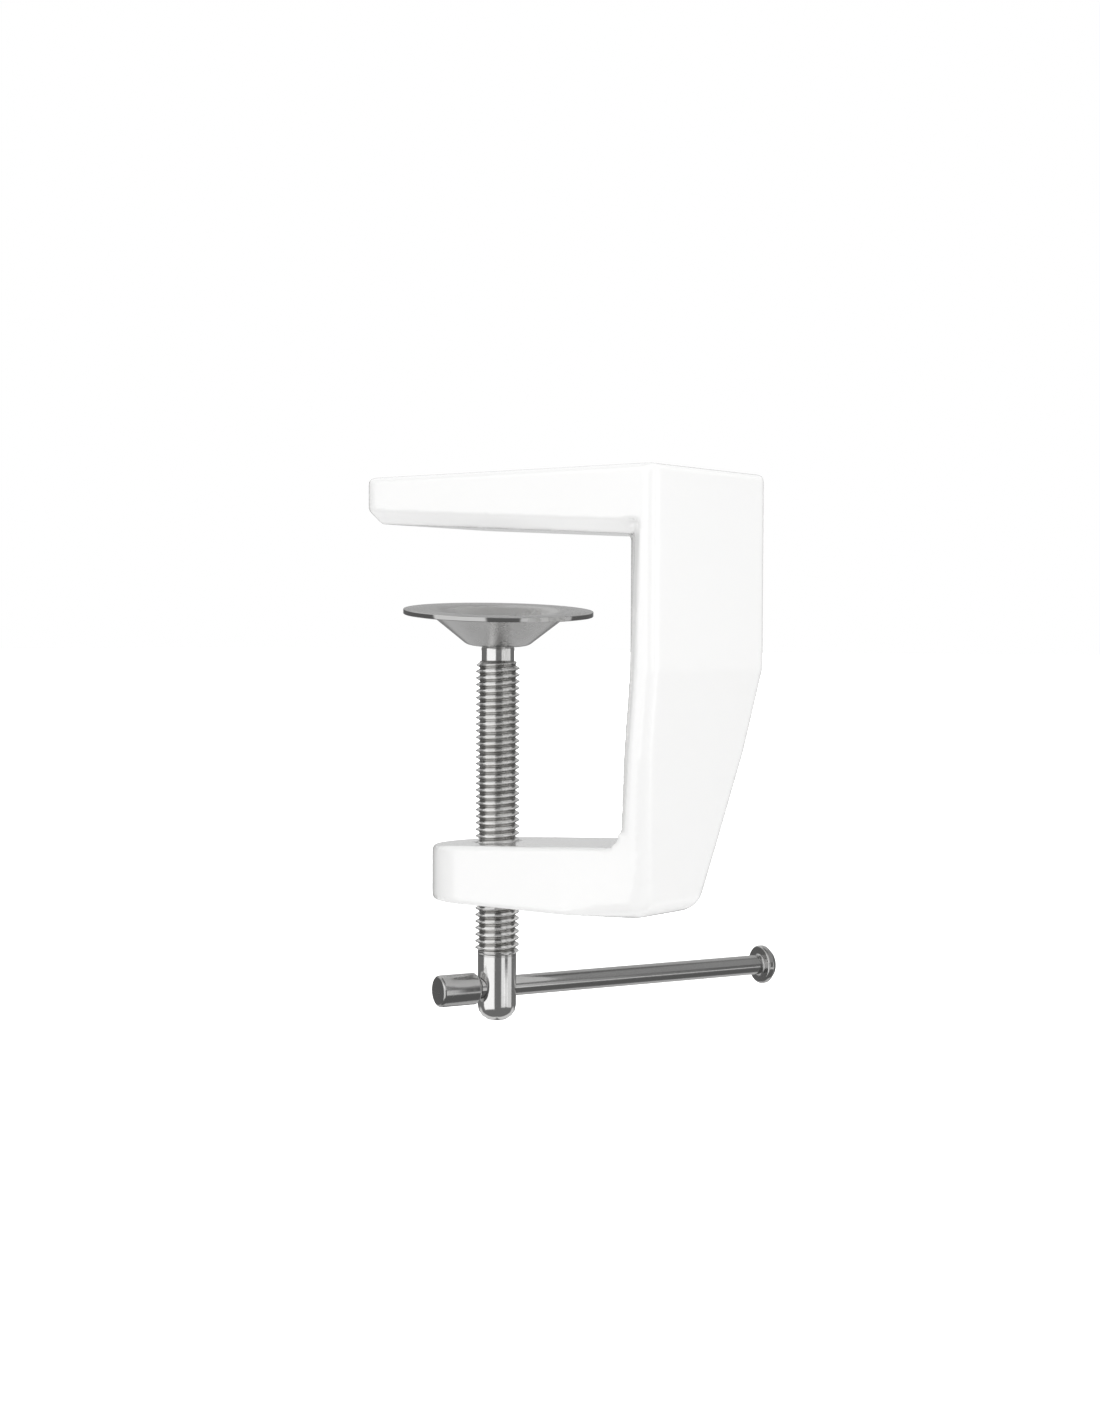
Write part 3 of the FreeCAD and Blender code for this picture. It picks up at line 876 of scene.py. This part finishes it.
def make_screw_plate():
    """Makes the screw's plate, darker and duller down in its thread: a trace of dirt, and painted shade in
    the grooves.
    """
    made = make_plate("screw_plate", origin, upright, across=60.0, along=5000.0, marks_depth=0.002)
    material, tree, shader, axis, colour, rough = made
    radius, height_along = distance_from_axis(tree, axis)
    # painted shade with some patchy dirt: the plate darkens from the crests down to the root of the thread
    dirt_shade_floor = (thread_root + 0.02) * MM
    dirt_shade_edge = (thread_root + 0.55) * MM
    groove = remap(tree, radius, dirt_shade_floor, dirt_shade_edge, 1.0, 0.0)
    threaded = band(tree, height_along, thread_low * MM, thread_high * MM, 0.3 * MM)
    patchy = remap(tree, noise(tree, axis, 220.0), 0.3, 0.65, 0.55, 0.9)
    dirt_and_shade = math_node(tree, "MULTIPLY", math_node(tree, "MULTIPLY", groove, threaded), patchy)
    grime_and_shade = add(tree, "ShaderNodeMix", data_type="RGBA")
    tree.links.new(dirt_and_shade, grime_and_shade.inputs["Factor"])
    tree.links.new(colour, grime_and_shade.inputs["A"])
    grime_and_shade.inputs["B"].default_value = dirt_and_shade_colour
    duller = math_node(tree, "MULTIPLY_ADD", dirt_and_shade, 0.2, rough)
    return finish_plate((material, tree, shader, axis, grime_and_shade.outputs["Result"], duller))


screw_plate = make_screw_plate()

# %% Plate on the bar and its cap
along_bar = (0, math.pi / 2, bar_heading)
bar_middle = (0, 0, bar_z * MM)
drawn = make_plate("bar_plate", bar_middle, along_bar, across=2600.0, along=14.0, marks_depth=0.002,
                   shine=0.12, tone=0.66)
turned = make_plate("cap_plate", bar_middle, along_bar, across=60.0, along=5200.0, marks_depth=0.002,
                    shine=0.14, tone=0.6)
bar_plate = finish_plate(drawn)
cap_plate = finish_plate(turned)

# %% [markdown]
# ## Satin pad and rivet
# The dish is pressed from sheet and barrel plated, so it is duller than the screw and has faint rings from
# the press tool. The rivet's head was set with a hammer: small flats, a little rougher still.

# %% Pad and rivet
def make_pad_satin():
    """Makes the pad's satin plate, rubbed bright along the edge of its rim."""
    made = make_plate("pad_satin", pad_pivot, pad_turn, across=45.0, along=900.0, marks_depth=0.0008,
                      shine=0.21, scuffs=0.3, tone=0.63)
    material, tree, shader, axis, colour, rough = made
    radius, _ = distance_from_axis(tree, axis)
    rubbed_from = (pad_radius - 0.2) * MM
    rubbed_to = (pad_radius - 0.05) * MM
    dull = remap(tree, radius, rubbed_from, rubbed_to, 1.0, 0.3)
    rough = math_node(tree, "MULTIPLY", rough, dull)
    return finish_plate((material, tree, shader, axis, colour, rough))


pad_plate = make_pad_satin()


def make_rivet():
    """Makes the rivet's steel, where the hammer's small flats take the place of the tool marks."""
    made = make_plate("rivet_steel", origin, upright, across=300.0, along=300.0, marks_depth=0.004,
                      shine=0.26)
    material, tree, shader, axis, colour, rough = made
    flats = add(tree, "ShaderNodeTexVoronoi", Scale=900.0, feature="SMOOTH_F1")
    tree.links.new(axis, flats.inputs["Vector"])
    bump(tree, shader, (flats.outputs["Distance"], 0.05))
    return finish_plate((material, tree, shader, axis, colour, rough))


rivet_steel = make_rivet()

# %% [markdown]
# ## Nylon
# The liner of the post socket is moulded in black nylon: matt, with a fine grain, and polished a little by
# the post.

# %% Nylon
def make_nylon():
    """Makes the liner's black nylon."""
    material, tree, shader = new_material("black_nylon")
    place_at = local_axes(tree)
    worn = place(tree, handling, place_at, Size=1.0)
    fresh_black = (0.03, 0.03, 0.032)
    worn_black = (0.055, 0.055, 0.055)
    colour = tint(tree, worn["Smudge"], fresh_black, worn_black)
    tree.links.new(colour, shader.inputs["Base Color"])
    rough = math_node(tree, "MULTIPLY_ADD", worn["Scratch"], -0.15, 0.55)
    tree.links.new(rough, shader.inputs["Roughness"])
    bump(tree, shader, (noise(tree, place_at, 3500.0), 0.02))
    return material


nylon = make_nylon()
print("material:", nylon.name)

# %% Dress the pieces
for piece, finish in ((clamp, enamel), (screw, screw_plate), (bar, bar_plate), (cap, cap_plate),
                      (pad, pad_plate), (rivet, rivet_steel), (liner, nylon)):
    dress(piece, finish)
    print(piece.name, "is dressed in", finish.name)
